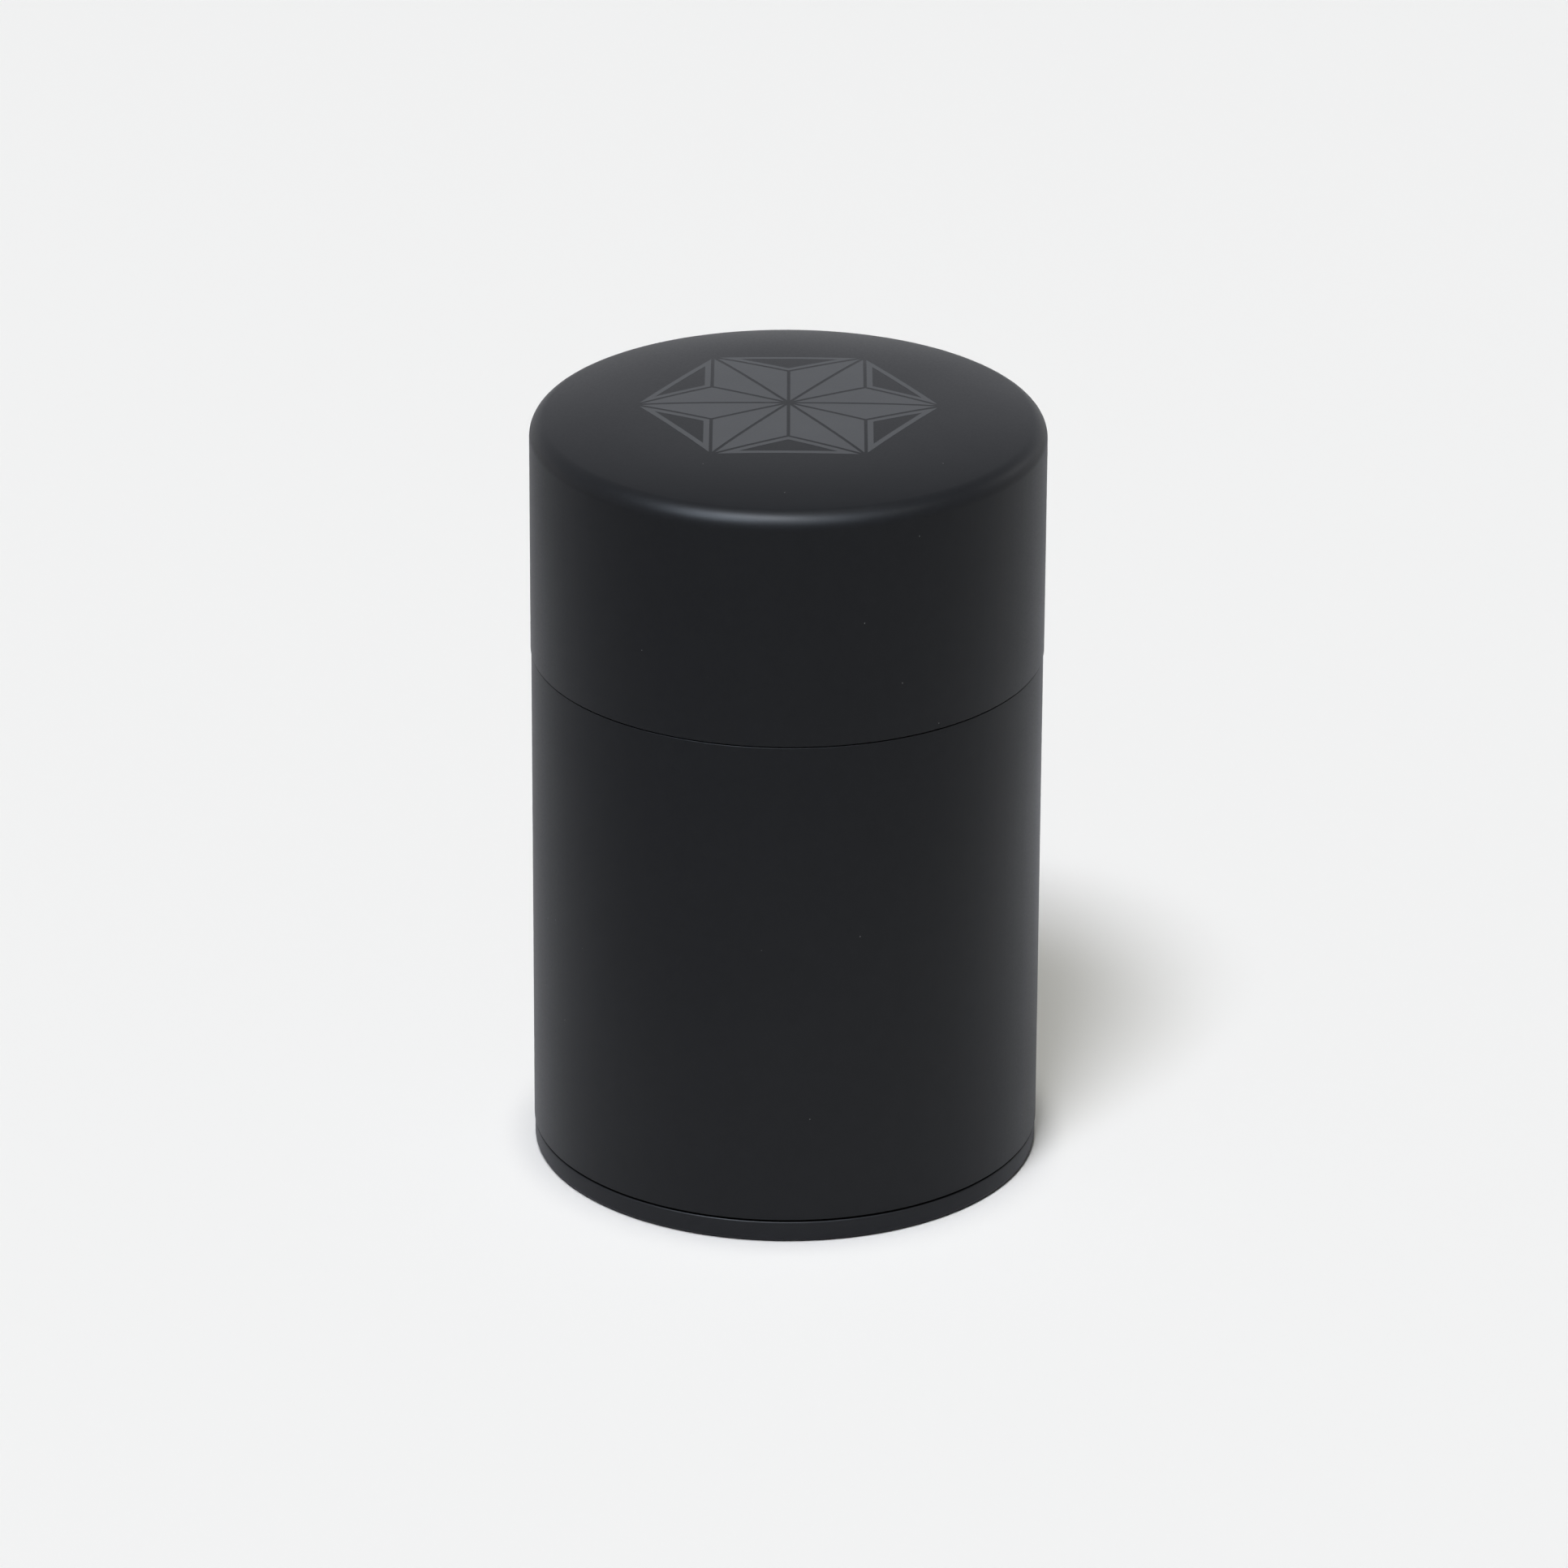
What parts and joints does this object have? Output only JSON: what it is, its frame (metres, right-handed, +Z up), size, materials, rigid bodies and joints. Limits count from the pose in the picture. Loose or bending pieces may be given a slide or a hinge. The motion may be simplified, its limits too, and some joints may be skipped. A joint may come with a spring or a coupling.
{
  "type": "tea canister",
  "caption": "Round black-painted steel tea canister with a slide-off lid over the neck of a tin-plated inner can, and a plug-in inner lid with a knob.",
  "frame": {"origin": "centre of the foot ring, on the surface that the canister stands on", "axes": "+Z up along the canister's axis, +X to the right as seen from the front, +Y towards the back"},
  "size_m": [0.076, 0.076, 0.1183],
  "materials": {
    "black_paint": "matte black paint with a soft sheen on sheet steel",
    "tin_plate": "satin tin plate on sheet steel",
    "turned_steel": "turned steel with fine lathe lines"
  },
  "bodies": {
    "canister": {"base_cap": "black_paint", "outer_body": "black_paint", "inner_can": "tin_plate", "inner_can_bottom": "tin_plate"},
    "lid": {"outer_lid": "black_paint"},
    "plug_lid": {"inner_lid": "tin_plate", "inner_lid_knob": "turned_steel", "knob_rivet": "turned_steel"}
  },
  "joints": [
    {"name": "lid_lift", "type": "slide", "parent": "canister", "child": "lid", "axis": [0, 0, 1], "range_m": [0, 0.1]},
    {"name": "inner_lid_lift", "type": "slide", "parent": "canister", "child": "plug_lid", "axis": [0, 0, 1], "range_m": [0, 0.045]}
  ],
  "couplings": [
    {"joint": "inner_lid_lift", "follows": "lid_lift", "ratio": 0.45}
  ]
}
